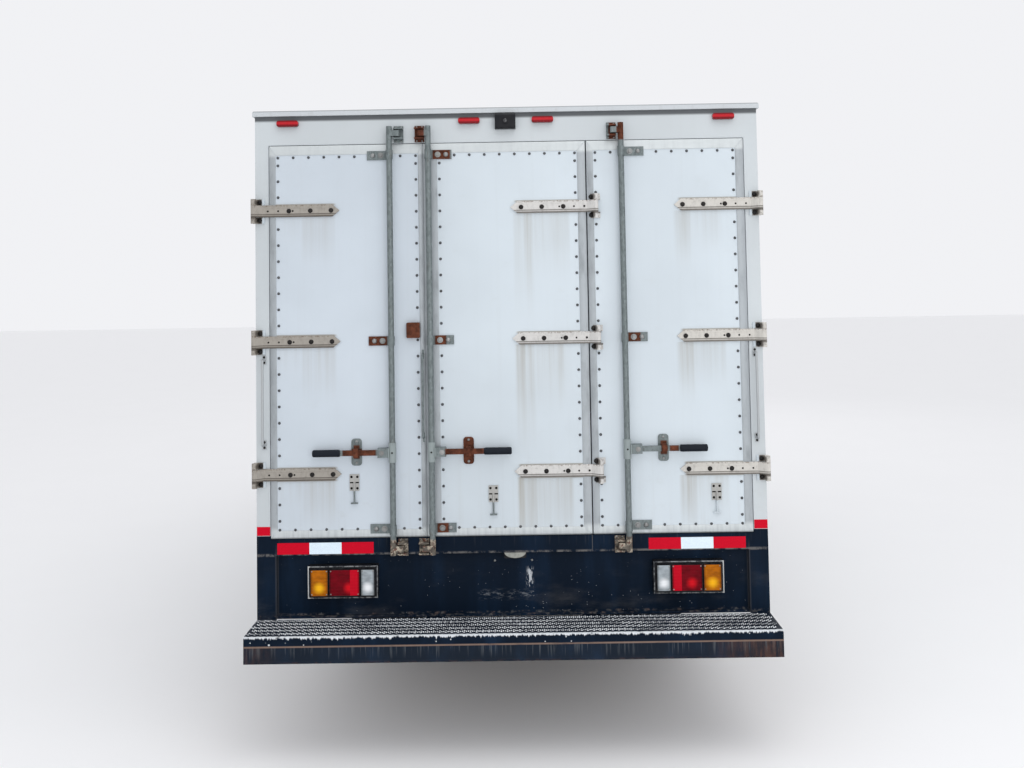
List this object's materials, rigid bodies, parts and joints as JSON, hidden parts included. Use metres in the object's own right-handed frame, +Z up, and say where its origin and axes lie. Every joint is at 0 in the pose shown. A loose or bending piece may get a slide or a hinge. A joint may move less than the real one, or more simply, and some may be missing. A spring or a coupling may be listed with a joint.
{
  "type": "box truck",
  "caption": "White cab-over box truck with hinged rear doors, lock rods, navy rear frame and a grip-plate step bumper.",
  "frame": {"origin": "on the ground under the middle of the truck's bounding box", "axes": "+Y is the way it drives, +X its right side, +Z up; the rear doors face -Y"},
  "size_m": [2.62, 7.015, 3.0199],
  "materials": {
    "chassis_paint": "satin black chassis paint",
    "navy_paint": "weathered navy paint with scratches",
    "body_white": "white panel paint, slightly bluish",
    "door_white": "white door panel with rust streaks",
    "cab_white": "glossy white cab paint",
    "galvanised": "galvanised steel, stained and part rusty",
    "bearer_steel": "dark painted bearers",
    "floor_wood": "laminated hardwood floor",
    "cast_steel": "dark cast and forged steel",
    "spring_steel": "black leaf spring steel",
    "tank_metal": "satin black tank",
    "box_plastic": "black battery box",
    "exhaust_steel": "heat-stained aluminised steel",
    "flap_rubber": "black rubber flap",
    "tyre": "black tyre rubber",
    "wheel_white": "white steel wheel",
    "bumper_paint": "white bumper paint",
    "lamp_lens": "coloured lamp lenses in dark housings",
    "marker_lens": "red marker lenses",
    "headlamp_lens": "clear headlamp lens over a bright reflector",
    "black_plastic": "black grained plastic",
    "dash_plastic": "dark grey dashboard plastic",
    "seat_fabric": "grey woven seat fabric",
    "glass": "lightly tinted glass"
  },
  "bodies": {
    "chassis": {"frame_rails": "chassis_paint", "cross_members": "chassis_paint", "floor_bearers": "bearer_steel", "box_floor": "floor_wood", "box_left_wall": "body_white", "box_right_wall": "body_white", "box_front_wall": "body_white", "box_roof": "body_white", "rear_frame": "body_white", "rear_sill": "navy_paint", "rear_fittings": "galvanised", "step_bumper": "navy_paint", "marker_lamps": "marker_lens", "rear_camera": "black_plastic", "tail_lamps": "lamp_lens", "fuel_tank": "tank_metal", "battery_box": "box_plastic", "exhaust": "exhaust_steel", "engine": "cast_steel", "front_axle": "cast_steel", "rear_axle": "cast_steel", "leaf_springs": "spring_steel", "mudflaps": "flap_rubber", "front_bumper": "bumper_paint"},
    "cab": {"cab_shell": "cab_white", "windscreen": "glass", "grille": "black_plastic", "headlamps": "headlamp_lens", "mirrors": "black_plastic", "dashboard": "dash_plastic", "seats": "seat_fabric", "seat_bases": "black_plastic"},
    "steering_wheel_body": {"steering_wheel": "black_plastic"},
    "cab_door_left_body": {"cab_door_left": "cab_white", "cab_window_left": "glass"},
    "cab_door_right_body": {"cab_door_right": "cab_white", "cab_window_right": "glass"},
    "knuckle_left_body": {"knuckle_left": "cast_steel"},
    "knuckle_right_body": {"knuckle_right": "cast_steel"},
    "wheel_front_left": {"front_wheel_left": "wheel_white", "front_tyre_left": "tyre"},
    "wheel_front_right": {"front_wheel_right": "wheel_white", "front_tyre_right": "tyre"},
    "wheel_rear_left": {"twin_wheels_left": "wheel_white", "twin_tyres_left": "tyre"},
    "wheel_rear_right": {"twin_wheels_right": "wheel_white", "twin_tyres_right": "tyre"},
    "rear_door_left_body": {"rear_door_left": "door_white", "rear_door_left_gear": "galvanised"},
    "rear_door_centre_body": {"rear_door_centre": "door_white", "rear_door_centre_gear": "galvanised"},
    "rear_door_right_body": {"rear_door_right": "door_white", "rear_door_right_gear": "galvanised"}
  },
  "joints": [
    {"name": "cab_tilt", "type": "hinge", "parent": "chassis", "child": "cab", "pos_m": [0, 3.2725, 0.74], "axis": [-1, 0, 0], "range_deg": [0, 45]},
    {"name": "cab_door_left_hinge", "type": "hinge", "parent": "cab", "child": "cab_door_left_body", "pos_m": [-1.01, 3.2165, 1.065], "axis": [0, 0, -1], "range_deg": [0, 70]},
    {"name": "cab_door_right_hinge", "type": "hinge", "parent": "cab", "child": "cab_door_right_body", "pos_m": [1.01, 3.2165, 1.065], "axis": [0, 0, 1], "range_deg": [0, 70]},
    {"name": "steer_left", "type": "hinge", "parent": "chassis", "child": "knuckle_left_body", "pos_m": [-0.69, 2.4075, 0.385], "axis": [0, 0, 1], "range_deg": [-35, 35]},
    {"name": "steer_right", "type": "hinge", "parent": "chassis", "child": "knuckle_right_body", "pos_m": [0.69, 2.4075, 0.385], "axis": [0, 0, 1], "range_deg": [-35, 35]},
    {"name": "steering_wheel_turn", "type": "hinge", "parent": "cab", "child": "steering_wheel_body", "pos_m": [-0.52, 2.9925, 1.395], "axis": [0, -0.6419, 0.7668], "range_deg": [-640, 640]},
    {"name": "wheel_front_left_spin", "type": "hinge", "parent": "knuckle_left_body", "child": "wheel_front_left", "pos_m": [-0.8325, 2.4075, 0.385], "axis": [-1, 0, 0], "continuous": true},
    {"name": "wheel_front_right_spin", "type": "hinge", "parent": "knuckle_right_body", "child": "wheel_front_right", "pos_m": [0.8325, 2.4075, 0.385], "axis": [-1, 0, 0], "continuous": true},
    {"name": "wheel_rear_left_spin", "type": "hinge", "parent": "chassis", "child": "wheel_rear_left", "pos_m": [-0.825, -1.4025, 0.385], "axis": [-1, 0, 0], "continuous": true},
    {"name": "wheel_rear_right_spin", "type": "hinge", "parent": "chassis", "child": "wheel_rear_right", "pos_m": [0.825, -1.4025, 0.385], "axis": [-1, 0, 0], "continuous": true},
    {"name": "rear_door_left_hinge", "type": "hinge", "parent": "chassis", "child": "rear_door_left_body", "pos_m": [-1.222, -3.2855, 1.897], "axis": [0, 0, -1], "range_deg": [0, 255]},
    {"name": "rear_door_right_hinge", "type": "hinge", "parent": "chassis", "child": "rear_door_right_body", "pos_m": [1.222, -3.2855, 1.897], "axis": [0, 0, 1], "range_deg": [0, 255]},
    {"name": "rear_door_centre_hinge", "type": "hinge", "parent": "rear_door_right_body", "child": "rear_door_centre_body", "pos_m": [0.43, -3.2855, 1.897], "axis": [0, 0, -1], "range_deg": [-150, 0]}
  ],
  "couplings": [
    {"joint": "steer_right", "follows": "steer_left", "ratio": 1},
    {"joint": "steering_wheel_turn", "follows": "steer_left", "ratio": 18}
  ]
}
